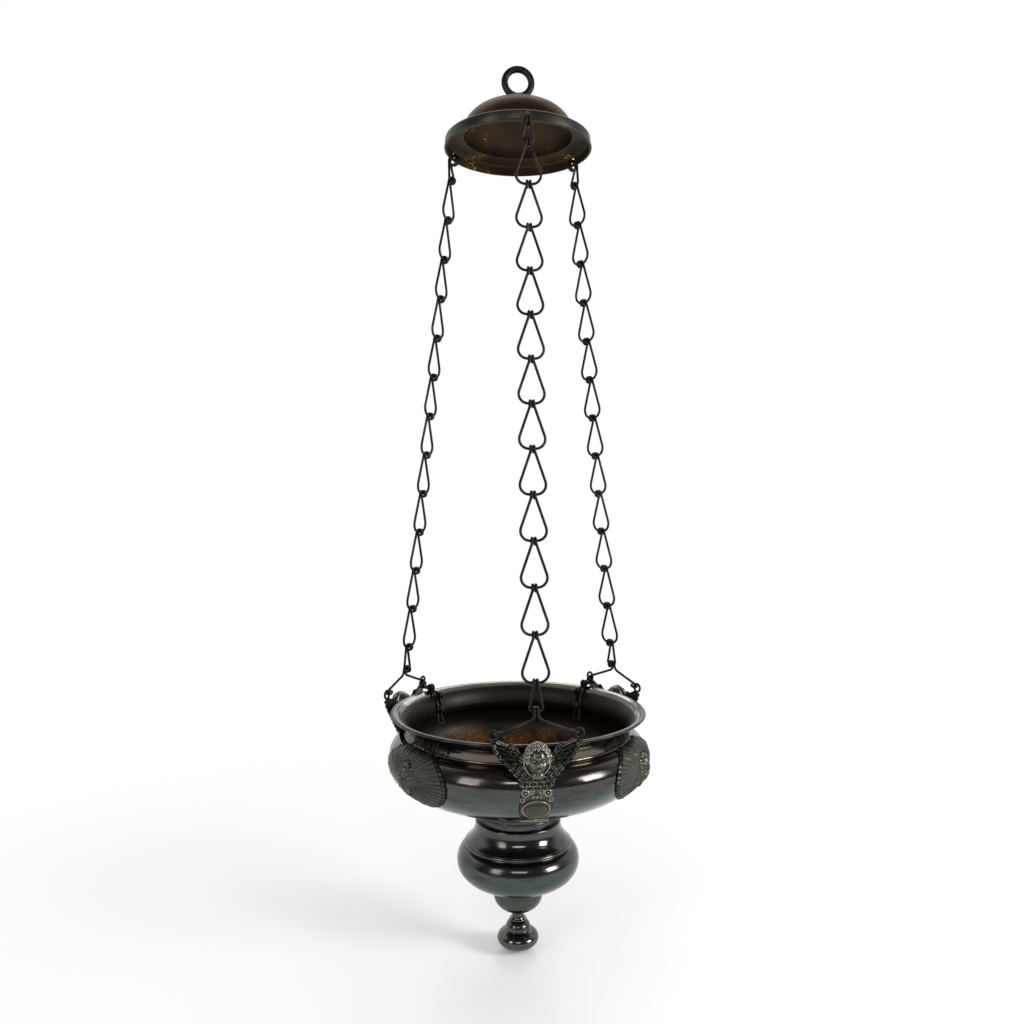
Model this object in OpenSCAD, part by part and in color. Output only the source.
// Hanging chain lamp: a ring bolt, a domed canopy, three chains of bent wire links,
// wire bridles, and a flared bowl with winged-head mounts, sunburst plaques,
// a baluster bulb, a drop cup and a turned finial.
// Units are millimetres and +Z is up. The origin is the centre of the hanging ring.

/* [Hanging ring] */
// Clear bore of the hanging ring
ring_bore = 16.8; // [14:0.2:20]
// Thickness of the ring's round section
ring_wire = 5.6; // [4.6:0.2:6.6]
// Diameter of the collar under the ring
collar_d = 9.2; // [8:0.2:11]
// Height of the collar below the ring
collar_h = 3.6; // [2:0.2:6]
// Diameter of the shank that the canopy turns on
shank_d = 5; // [4:0.2:6]
// Diameter of the round nut that carries the canopy
ring_nut_d = 12; // [10:0.5:15]
// Height of that nut
ring_nut_h = 2.6; // [2:0.2:4]
// Radial running clearance of the shank in the canopy's crown
swivel_clear = 0.06; // [0.03:0.01:0.09]
// Gap between the collar and the crown
swivel_lift = 0.3; // [0.2:0.05:0.6]

/* [Canopy] */
// Outer radius of the canopy's skirt
canopy_rim_r = 60.8; // [55:0.2:68]
// Radius of the dome at its foot
dome_r = 40; // [35:0.5:45]
// Height of the dome
dome_h = 16.4; // [13:0.2:20]
// Height of the rounded flange between dome and skirt
flange_h = 12.5; // [10:0.5:16]
// Height of the upright skirt
skirt_h = 8.7; // [8:0.1:12]
// Thickness of the canopy's sheet
canopy_wall = 1.4; // [1:0.1:1.8]
// Radius of the flat crown under the ring
crown_r = 8.5; // [8:0.5:12]
// Thickness of the crown
crown_t = 2.4; // [2:0.2:4]
// Height of a hook hole's centre above the skirt's edge
hole_rise = 4.6; // [4.4:0.1:5]
// Room round the hook's wires in its hole
hole_clear = 0.5; // [0.4:0.05:0.6]

/* [Chain] */
// Diameter of the chain wire
chain_wire = 2.1; // [1.8:0.1:2.3]
// Distance from pin to pin of a link
link_pitch = 33.9; // [30:0.1:38]
// Outer width of a link
link_w = 21.5; // [18:0.5:24]
// Radial room of an eye round its pin
eye_clear = 0.35; // [0.3:0.05:0.5]
// Gap left where an eye bears on its pin
seat_gap = 0.05; // [0.04:0.01:0.1]
// Gap between the two eyes of a link
eye_gap = 0.3; // [0.2:0.05:0.4]
// Room at each end of a pin beside the eyes
pin_slack = 0.35; // [0.3:0.05:0.6]
// Distance from the canopy hook's eye to its pin
hook_len = 17; // [16:0.5:20]
// Outer width of the canopy hook
hook_w = 11; // [10:0.5:13]
// Centre-line radius of the hook's eye through the canopy
hook_eye_r = 4; // [3.9:0.1:4.3]
// Distance from pin to pin of the connector below a chain
connector_len = 20; // [19:0.5:24]
// Outer width of the connector
connector_w = 11.5; // [10:0.5:13]

/* [Bridle] */
// Distance from a chain's line to the centre of a wing ring
bridle_half = 31; // [28:0.5:34]
// Play of a bridle's eyes above the connector's pin, taken up as the bowl turns
bridle_play = 0.35; // [0.3:0.01:0.4]
// Slope of a bridle leg from the chain's line, in degrees
leg_angle = 70; // [62:1:74]
// Radius of the bend at the top of a leg
leg_bend = 5; // [4:0.5:6]
// Length of a leg's neck below its eye
leg_neck = 2; // [1.5:0.1:3]
// Centre-line radius of a wing ring
wing_ring_r = 3.4; // [3.2:0.1:3.8]
// Thickness of a wing ring
wing_ring_wire = 2; // [1.8:0.1:2.1]

/* [Bowl] */
// Outer radius of the bowl's lip
lip_r = 105.5; // [100:0.5:106]
// Height of the lip's edge
lip_edge = 2.2; // [1.6:0.2:3]
// Outer radius of the bowl's neck
neck_r = 93; // [89:0.5:96]
// Depth of the neck below the lip
neck_z = 17; // [14:0.5:20]
// Outer radius of the belly
belly_r = 106.5; // [103:0.5:107]
// Depth of the belly's widest line below the lip
belly_z = 35; // [32:0.5:38]
// Depth of the bowl below the lip
bowl_depth = 71; // [66:0.5:76]
// Radius of the bowl's flat floor
floor_r = 43; // [40:0.5:48]
// Thickness of the bowl's wall
bowl_wall = 1.8; // [1.4:0.1:2.4]
// Radius of the well for the tie nut
well_r = 14; // [13:0.5:18]
// Depth of that well
well_h = 9; // [8.5:0.5:12]

/* [Bulb and finial] */
// Outer radius of the bulb's neck
bulb_neck_r = 32.6; // [30:0.2:36]
// Outer radius of the bulb's shoulder bead
bulb_step_r = 46.5; // [44:0.5:48]
// Largest radius of the bulb
bulb_r = 50.8; // [49:0.2:54]
// Height from the bowl's floor to the shoulder bead
bulb_neck_h = 27; // [24:0.5:30]
// Height of the whole bulb
bulb_h = 73; // [68:0.5:80]
// Radius of the bulb's flat foot
bulb_foot_r = 22.5; // [21:0.5:25]
// Thickness of the bulb's wall
bulb_wall = 1.6; // [1.2:0.1:2]
// Radius of the drop cup
cup_r = 19.6; // [18:0.2:20.8]
// Height of the drop cup
cup_h = 24.5; // [22:0.5:28]
// Radius of the stem under the cup
stem_r = 5.4; // [4.8:0.2:6]
// Largest radius of the finial's knob
knob_r = 16.8; // [15:0.2:19]
// Height of the finial with its stem
finial_h = 31; // [29:0.5:34]
// Diameter of the tie rod
rod_d = 5.4; // [4.6:0.2:5.8]
// Radial room of the tie rod in what it passes
rod_clear = 0.05; // [0.03:0.01:0.1]
// Width across the corners of the tie nut
tie_nut_w = 13; // [11:0.5:15]
// Height of the tie nut
tie_nut_h = 4.6; // [4:0.2:6]

/* [Mounts and plaques] */
// Radius at which the wing rings' chord passes the lamp's axis
mount_r = 107.8; // [107.6:0.1:110]
// Height of the wing rings above the lip
ring_rise = 8; // [7:0.5:11]
// Gap left between a mount or plaque and the bowl
fit_gap = 0.05; // [0.03:0.01:0.1]
// Distance from the lip to the back of the wings
wing_back = 0.7; // [0.5:0.05:0.9]
// Thickness of the wings at their root
wing_t = 3.4; // [3:0.2:4]
// Number of feathers in a wing
feather_count = 6; // [5:1:7]
// Half width of a mount's chest
chest_half = 12; // [10.5:0.5:13]
// Half width of a mount's foot
foot_half = 11; // [9.5:0.5:12.5]
// Thickness of a mount's foot
foot_t = 3.4; // [2.8:0.2:4]
// Depth of a mount's foot below the lip
foot_z = 63; // [60:0.5:65]
// Half width of the head
head_r = 8.6; // [8:0.2:9.4]
// Half height of the head
head_half_h = 11; // [10:0.5:12]
// Depth of the head's centre below the lip
head_z = 8; // [6:0.5:10]
// Half width of a sunburst plaque
plaque_half = 43; // [38:1:46]
// Half height of a sunburst plaque
plaque_rise = 23; // [20:0.5:24]
// Depth of a plaque's centre below the lip
plaque_z = 37; // [35:0.5:39]
// Thickness of a plaque's plate
plaque_t = 1.8; // [1.4:0.1:2.4]
// Height of the rays above the plate
ray_t = 1.2; // [0.8:0.1:1.8]
// Number of rays round a plaque
ray_count = 22; // [16:2:28]

/* [Hidden] */
// Which node is drawn
link_count = 12;
chain_names = ["front", "left", "right"];
chain_az = [-90, 150, 30];
plaque_names = ["left_front", "right_front", "back"];
plaque_az = [-150, -30, 90];
$fn = 72;
wire_fn = 40;
// length left open in a wire under each ball joint
ball_gap = 0.1;
// facets along a curved part of a turned profile
turn_n = 10;

// heights of the ring bolt and the canopy
collar_z = -(ring_bore / 2 + ring_wire + collar_h);
crown_z = collar_z - swivel_lift;
ring_nut_z = crown_z - crown_t - seat_gap - ring_nut_h;
dome_z = crown_z - dome_h;
flange_z = dome_z - 1.2;
skirt_z = flange_z - flange_h;
canopy_z = skirt_z - skirt_h;

// eyes, pins and the line of a chain
eye_r = chain_wire + eye_clear;
eye_drop = eye_clear - seat_gap;
eye_y = (chain_wire + eye_gap) / 2;
pin_len = 2 * chain_wire + eye_gap + 2 * pin_slack;
hole_r = norm([eye_y + chain_wire / 2, chain_wire / 2]) + hole_clear;
top_r = canopy_rim_r - canopy_wall / 2;
top_z = canopy_z + hole_rise - hook_eye_r;
chain_len = hook_len + link_count * link_pitch + connector_len;

// a bridle leg, from its eye to the centre of the wing ring
ring_play = eye_r - chain_wire / 2 - wing_ring_wire / 2 - seat_gap;
leg_reach = (bridle_half - eye_y - leg_bend * (1 - cos(leg_angle))) / sin(leg_angle);
leg_len = leg_reach - ring_play - wing_ring_r;
leg_drop = leg_neck + leg_bend * sin(leg_angle) + leg_reach * cos(leg_angle);

// where the bowl hangs
bridle_drop = eye_clear - bridle_play;
ring_s = chain_len + bridle_drop + leg_drop;
lean = asin((mount_r - top_r) / ring_s);
lip_z = top_z - ring_s * cos(lean) - ring_rise;

// heights of the bulb, the cup and the finial, and the tie rod's ends
bulb_z = lip_z - bowl_depth - fit_gap;
bulb_foot_z = bulb_z - bulb_h;
cup_z = bulb_foot_z - fit_gap;
finial_z = cup_z - cup_h - fit_gap;
well_z = lip_z - bowl_depth + bowl_wall - well_h;
tie_nut_z = well_z + fit_gap;
rod_top_z = tie_nut_z + tie_nut_h + 1.2;
rod_end_z = finial_z - 14;

function link_name(c, k) = str(c, "_link_", k < 10 ? "0" : "", k);

silver = [0.33, 0.33, 0.31];
dark_silver = [0.24, 0.24, 0.23];
iron = [0.12, 0.11, 0.10];
copper = [0.34, 0.24, 0.16];

// points on part of an ellipse round [r, z]
function bow(r, z, a, b, from, to) =
    [for (i = [0 : turn_n]) let (p = from + (to - from) * i / turn_n) [r + a * cos(p), z + b * sin(p)]];

// how far an eye of this radius is curled before its end meets the neck
function curl(r) = 360 - acos((r - chain_wire / 2 - eye_gap) / (r + chain_wire / 2));

// one arc of wire in the XY plane, from the X axis
module wire_arc(r, turn, wire = chain_wire) {
    rotate_extrude(angle = turn, $fn = wire_fn * 1.5)
        translate([r, 0])
            circle(d = wire, $fn = wire_fn);
}

// one straight length of wire along +Y, between two ball joints
module wire_run(len) {
    rotate([-90, 0, 0])
        translate([0, 0, ball_gap])
            cylinder(d = chain_wire, h = len - 2 * ball_gap, $fn = wire_fn);
}

// a ball that joins two lengths of wire, a little thicker than the wire
module ball() {
    sphere(d = chain_wire * 1.05, $fn = wire_fn);
}

// A link bent from one wire: a straight pin at the bottom, round shoulders, and sides
// that run together into two eyes. The origin is the eyes' centre, and the pin lies
// along Y, reach below it.
module bent_link(reach, width, r_eye) {
    shoulder = (width - chain_wire - pin_len) / 2;
    rise = sqrt(reach * reach - r_eye * r_eye);
    dy = eye_y - pin_len / 2;
    dz = rise - shoulder;
    span = norm([dy, dz]);
    taper = atan2(-dy, dz) + asin(shoulder / span);
    side = sqrt(span * span - shoulder * shoulder);
    side_y = pin_len / 2 + shoulder * cos(taper);
    side_z = shoulder * (1 + sin(taper));
    translate([0, 0, -reach])
        rotate([0, asin(r_eye / reach), 0]) {
            translate([0, -pin_len / 2, 0])
                wire_run(pin_len);
            for (m = [0, 1])
                mirror([0, m, 0]) {
                    translate([0, pin_len / 2, 0])
                        ball();
                    translate([0, side_y, side_z])
                        ball();
                    translate([0, eye_y, rise])
                        ball();
                    rotate([90, 0, 90]) {
                        translate([pin_len / 2, shoulder, 0])
                            rotate([0, 0, -90])
                                wire_arc(shoulder, 90 + taper);
                        translate([side_y, side_z, 0])
                            rotate([0, 0, taper])
                                wire_run(side);
                    }
                    translate([-r_eye, eye_y, rise])
                        rotate([90, 0, 0])
                            wire_arc(r_eye, curl(r_eye));
                }
        }
}

// the place on chain i, at the distance s along its line from the canopy
module on_chain(i, s) {
    rotate([0, 0, chain_az[i]])
        translate([top_r, 0, top_z])
            rotate([0, -lean, 0])
                translate([0, 0, -s])
                    children();
}

// a solid of revolution from [r, z] points
module turned(points) {
    rotate_extrude()
        polygon(points);
}

// ring, collar and shank in one forging
module ring_bolt() {
    color(iron) {
        rotate([90, 0, 0])
            rotate_extrude()
                translate([(ring_bore + ring_wire) / 2, 0])
                    circle(d = ring_wire);
        difference() {
            translate([0, 0, collar_z])
                cylinder(d = collar_d, h = collar_h + ring_wire / 2);
            rotate([90, 0, 0])
                cylinder(d = ring_bore + ring_wire, h = collar_d + 2, center = true);
        }
        translate([0, 0, ring_nut_z - 1.5])
            cylinder(d = shank_d, h = collar_z - ring_nut_z + 1.6);
    }
}

// round nut under the crown
module ring_nut() {
    color(iron)
        difference() {
            translate([0, 0, ring_nut_z])
                cylinder(d = ring_nut_d, h = ring_nut_h);
            translate([0, 0, ring_nut_z - 1])
                cylinder(d = shank_d + 2 * rod_clear, h = ring_nut_h + 2);
        }
}

// domed canopy with a flange, a skirt, a rolled edge and three hook holes
module canopy() {
    w = canopy_wall;
    shank_r = shank_d / 2 + swivel_clear;
    outside = concat(
        [[shank_r, crown_z], [crown_r, crown_z]],
        bow(crown_r, dome_z, dome_r - crown_r, dome_h, 84, 0),
        [[dome_r, flange_z]],
        bow(dome_r, skirt_z, canopy_rim_r - dome_r, flange_h, 84, 0),
        [[canopy_rim_r, canopy_z + 1.6], [canopy_rim_r + 0.6, canopy_z + 1.2],
         [canopy_rim_r + 0.6, canopy_z]]
    );
    inside = concat(
        [[canopy_rim_r - w, canopy_z]],
        bow(dome_r, skirt_z, canopy_rim_r - dome_r - w, flange_h - w, 0, 80),
        [[dome_r - w, flange_z - w]],
        bow(crown_r, dome_z, dome_r - crown_r - w, dome_h - crown_t, 0, 90),
        [[shank_r, crown_z - crown_t]]
    );
    color(copper)
        difference() {
            turned(concat(outside, inside));
            for (az = chain_az)
                rotate([0, 0, az])
                    translate([canopy_rim_r - 5, 0, canopy_z + hole_rise])
                        rotate([0, 90, 0])
                            cylinder(r = hole_r, h = 10, $fn = wire_fn);
        }
}

// hook i through the canopy's skirt
module chain_hook(i) {
    color(iron)
        on_chain(i, 0)
            bent_link(hook_len, hook_w, hook_eye_r);
}

// link k of chain i, which hangs on the pin above it
module chain_link(i, k) {
    color(iron)
        on_chain(i, hook_len + (k - 1) * link_pitch + eye_drop)
            bent_link(link_pitch - eye_drop, link_w, eye_r);
}

// short connector below chain i
module connector(i) {
    color(iron)
        on_chain(i, hook_len + link_count * link_pitch + eye_drop)
            bent_link(connector_len - eye_drop, connector_w, eye_r);
}

// one leg of a bridle, from its eye on the connector's pin to its eye on a wing ring
module bridle_leg() {
    bent_y = eye_y + leg_bend * (1 - cos(leg_angle));
    bent_z = -leg_neck - leg_bend * sin(leg_angle);
    foot_y = bent_y + leg_len * sin(leg_angle);
    foot_z = bent_z - leg_len * cos(leg_angle);
    translate([0, eye_y, 0])
        rotate([90, 0, 0])
            wire_arc(eye_r, curl(eye_r));
    translate([eye_r, 0, 0])
        rotate([90, 0, 90]) {
            for (b = [[eye_y, 0, -90], [eye_y, -leg_neck, -90],
                      [bent_y, bent_z, leg_angle - 90], [foot_y, foot_z, leg_angle - 90]])
                translate([b[0], b[1], 0])
                    rotate([0, 90, b[2]])
                        ball();
            translate([eye_y, -leg_neck, 0])
                wire_run(leg_neck);
            translate([eye_y + leg_bend, -leg_neck, 0])
                rotate([0, 0, 180])
                    wire_arc(leg_bend, leg_angle);
            translate([bent_y, bent_z, 0])
                rotate([0, 0, leg_angle - 180])
                    wire_run(leg_len);
        }
    translate([0, foot_y, foot_z])
        rotate([leg_angle, 0, 0])
            rotate([-90, 0, 0])
                wire_arc(eye_r, curl(eye_r));
}

// the two legs below chain i
module bridle(i) {
    color(iron)
        on_chain(i, chain_len + bridle_drop)
            for (m = [0, 1])
                mirror([0, m, 0])
                    bridle_leg();
}

// the bowl's outside from the lip to the floor, grown by g
function bowl_out(g) = concat(
    [[lip_r + g, lip_z + g], [lip_r + g, lip_z - lip_edge - g]],
    bow(lip_r + g, lip_z - neck_z, neck_r - lip_r, neck_z - lip_edge - g, 80, 0),
    bow(neck_r + g, lip_z - belly_z, belly_r - neck_r, belly_z - neck_z - 2, 78, 0),
    bow(floor_r, lip_z - belly_z, belly_r - floor_r + g, bowl_depth - belly_z + g, -6, -90)
);

// the space that the bowl fills, grown by g, for seating what lies on it
module bowl_space(g) {
    turned(concat([[0, lip_z + g]], bowl_out(g), [[0, lip_z - bowl_depth - g]]));
}

// bowl with a flared lip, a neck, a belly and a flat floor with a well
module bowl() {
    w = bowl_wall;
    floor_z = lip_z - bowl_depth;
    bore_r = rod_d / 2 + rod_clear;
    below = [
        [well_r + w, floor_z], [well_r + w - 0.6, floor_z - well_h], [bore_r, floor_z - well_h]
    ];
    above = [[bore_r, well_z], [well_r - 0.6, well_z], [well_r, floor_z + w]];
    inside = concat(
        bow(floor_r, lip_z - belly_z, belly_r - floor_r - w, bowl_depth - belly_z - w, -90, -6),
        bow(neck_r - w, lip_z - belly_z, belly_r - neck_r, belly_z - neck_z - 2 - w, 0, 78),
        bow(lip_r - 1, lip_z - neck_z, neck_r - w - lip_r + 1, neck_z, 0, 90)
    );
    color(silver)
        turned(concat(bowl_out(0), below, above, inside));
}

// hollow baluster bulb under the bowl
module bulb() {
    w = bulb_wall;
    step_z = bulb_z - bulb_neck_h;
    wide_z = step_z - 20;
    bore_r = rod_d / 2 + rod_clear;
    outside = concat(
        [[bulb_neck_r + 1, bulb_z], [bulb_neck_r + 1, bulb_z - 2], [bulb_neck_r, bulb_z - 2.6]],
        bow(bulb_step_r - 1, bulb_z - 4, bulb_neck_r - bulb_step_r + 1, bulb_neck_h - 4, 0, -84),
        [[bulb_step_r, step_z], [bulb_step_r, step_z - 2.4]],
        bow(bulb_step_r - 2, wide_z, bulb_r - bulb_step_r + 2, 17, 80, 0),
        bow(bulb_foot_r, wide_z, bulb_r - bulb_foot_r, wide_z - bulb_foot_z, -8, -84),
        [[bulb_foot_r, bulb_foot_z]]
    );
    inside = concat(
        [[bore_r, bulb_foot_z], [bore_r, bulb_foot_z + w]],
        bow(bulb_foot_r, wide_z, bulb_r - bulb_foot_r - w, wide_z - bulb_foot_z - w, -90, -8),
        bow(bulb_step_r - 2 - w, wide_z, bulb_r - bulb_step_r + 2, 17, 0, 80),
        bow(bulb_step_r - 1 - w, bulb_z - 4, bulb_neck_r - bulb_step_r + 1, bulb_neck_h - 4, -84, 0),
        [[bulb_neck_r - w, bulb_z]]
    );
    color(silver)
        turned(concat(outside, inside));
}

// turned drop cup under the bulb
module drop_cup() {
    bore_r = rod_d / 2 + rod_clear;
    foot_z = cup_z - cup_h;
    color(silver)
        turned(concat(
            [[bore_r, cup_z], [cup_r + 1.2, cup_z], [cup_r + 1.2, cup_z - 1.6], [cup_r, cup_z - 2.2]],
            bow(stem_r + 1, cup_z - 9, cup_r - stem_r - 1, cup_h - 11, 0, -80),
            [[stem_r + 1, foot_z + 1.6], [stem_r + 1, foot_z], [bore_r, foot_z]]
        ));
}

// turned finial with a blind bore for the tie rod
module finial() {
    bore_r = rod_d / 2 + rod_clear;
    knob_z = finial_z - finial_h + 10;
    bell_z = knob_z + 7;
    color(silver)
        turned(concat(
            [[bore_r, finial_z], [stem_r, finial_z], [stem_r, finial_z - 4.5],
             [stem_r + 1.8, finial_z - 5.2], [stem_r + 1.8, finial_z - 6.6]],
            bow(stem_r, bell_z, knob_r * 0.66 - stem_r, finial_z - 7 - bell_z, 80, 0),
            [[knob_r * 0.74, bell_z - 0.6]],
            bow(knob_r * 0.62, knob_z, knob_r * 0.38, 5.4, 80, -80),
            bow(0, knob_z - 4.6, knob_r * 0.6, 5.4, -12, -90),
            [[0, rod_end_z - 0.5], [bore_r, rod_end_z - 0.5]]
        ));
}

// tie rod that holds the bulb, cup and finial to the bowl
module tie_rod() {
    color(iron)
        translate([0, 0, rod_end_z])
            cylinder(d = rod_d, h = rod_top_z - rod_end_z, $fn = wire_fn);
}

// six-sided nut in the bowl's well
module tie_nut() {
    color(iron)
        translate([0, 0, tie_nut_z])
            difference() {
                linear_extrude(height = tie_nut_h)
                    circle(d = tie_nut_w, $fn = 6);
                translate([0, 0, -1])
                    cylinder(r = rod_d / 2 + rod_clear, h = tie_nut_h + 2, $fn = wire_fn);
            }
}

// an outline in [tangential, height] raised outwards from the distance x
module raised(x, t) {
    translate([x, 0, 0])
        rotate([90, 0, 90])
            linear_extrude(height = t)
                children();
}

// one feather from the origin along X, with a round end
module feather(len, width) {
    translate([0, -width / 2])
        square([len, width]);
    translate([len, 0])
        circle(d = width, $fn = 28);
}

// a wing fanned out from its shoulder; the leading feather ends at the wing ring
module wing(x) {
    root = [9, lip_z - 25];
    tip = [bridle_half, lip_z + ring_rise] - root;
    lead = norm(tip) - wing_ring_r - wing_ring_wire * 0.4;
    for (f = [0 : feather_count - 1]) {
        part = f / (feather_count - 1);
        raised(x, wing_t - 1.2 * part)
            translate(root)
                rotate(atan2(tip[1], tip[0]) - 74 * part)
                    feather(lead * (1 - 0.58 * part), wing_ring_wire * 1.6 + 3.4 * sqrt(part));
    }
}

// head with a roll of curls, as a turned egg and a ring
module head(x) {
    translate([x, 0, lip_z - head_z]) {
        rotate_extrude()
            polygon(concat([[0, -head_half_h]], bow(0, 0, head_r, head_half_h, -84, 84), [[0, head_half_h]]));
        translate([0.5, 0, 1])
            rotate([0, 90, 0])
                rotate_extrude()
                    translate([head_r + 0.6, 0])
                        circle(r = 2.3, $fn = 28);
        translate([head_r - 0.4, 0, -1])
            sphere(r = 1.7, $fn = 24);
    }
}

// winged-head mount i: foot and chest seated on the belly, wings with a ring at each tip
module winged_head(i) {
    wing_x = lip_r + wing_back;
    color(dark_silver) {
        rotate([0, 0, chain_az[i]])
            difference() {
                union() {
                    raised(belly_r - 3, wing_x + wing_t - belly_r + 5)
                        translate([0, lip_z - 44])
                            polygon([[-foot_half, 0], [foot_half, 0], [chest_half, 12], [chest_half - 2, 24],
                                     [6, 36], [-6, 36], [2 - chest_half, 24], [-chest_half, 12]]);
                    for (m = [0, 1])
                        mirror([0, m, 0])
                            wing(wing_x);
                    head(wing_x + wing_t + 2);
                    intersection() {
                        bowl_space(foot_t);
                        raised(60, 60)
                            union() {
                                translate([-foot_half, lip_z - foot_z + 6])
                                    square([2 * foot_half, foot_z - 46]);
                                for (y = [-1, 0, 1])
                                    translate([y * foot_half * 2 / 3, lip_z - foot_z + 6])
                                        circle(r = foot_half / 3, $fn = 28);
                            }
                    }
                }
                bowl_space(fit_gap);
            }
        on_chain(i, ring_s)
            for (y = [-bridle_half, bridle_half])
                translate([0, y, 0])
                    rotate([0, 90, 0])
                        wire_arc(wing_ring_r, 360, wing_ring_wire);
    }
}

// a pointed outline of rays in an oval
module rays(inner) {
    polygon([for (j = [0 : 2 * ray_count - 1])
        let (a = 180 * j / ray_count, k = j % 2 == 0 ? 1 : inner)
            [plaque_half * k * cos(a), plaque_rise * k * sin(a)]]);
}

// an oval outline
module oval(a, b) {
    polygon([for (j = [0 : 35]) [a * cos(10 * j), b * sin(10 * j)]]);
}

// sunburst plaque j: an oval plate, rays and a boss, all following the belly
module sunburst(j) {
    color(dark_silver)
        rotate([0, 0, plaque_az[j]])
            difference() {
                union() {
                    intersection() {
                        bowl_space(fit_gap + plaque_t);
                        raised(60, 60)
                            translate([0, lip_z - plaque_z])
                                oval(plaque_half * 0.86, plaque_rise * 0.86);
                    }
                    intersection() {
                        bowl_space(fit_gap + plaque_t + ray_t);
                        raised(60, 60)
                            translate([0, lip_z - plaque_z])
                                rays(0.7);
                    }
                    intersection() {
                        bowl_space(fit_gap + plaque_t + 3 * ray_t);
                        raised(60, 60)
                            translate([0, lip_z - plaque_z])
                                oval(plaque_half * 0.24, plaque_rise * 0.5);
                    }
                }
                bowl_space(fit_gap);
            }
}

ring_bolt();
ring_nut();
canopy();
for (i = [0 : 2]) {
    chain_hook(i);
    for (k = [1 : link_count])
        chain_link(i, k);
    connector(i);
    bridle(i);
    winged_head(i);
    sunburst(i);
}
bowl();
bulb();
drop_cup();
finial();
tie_rod();
tie_nut();
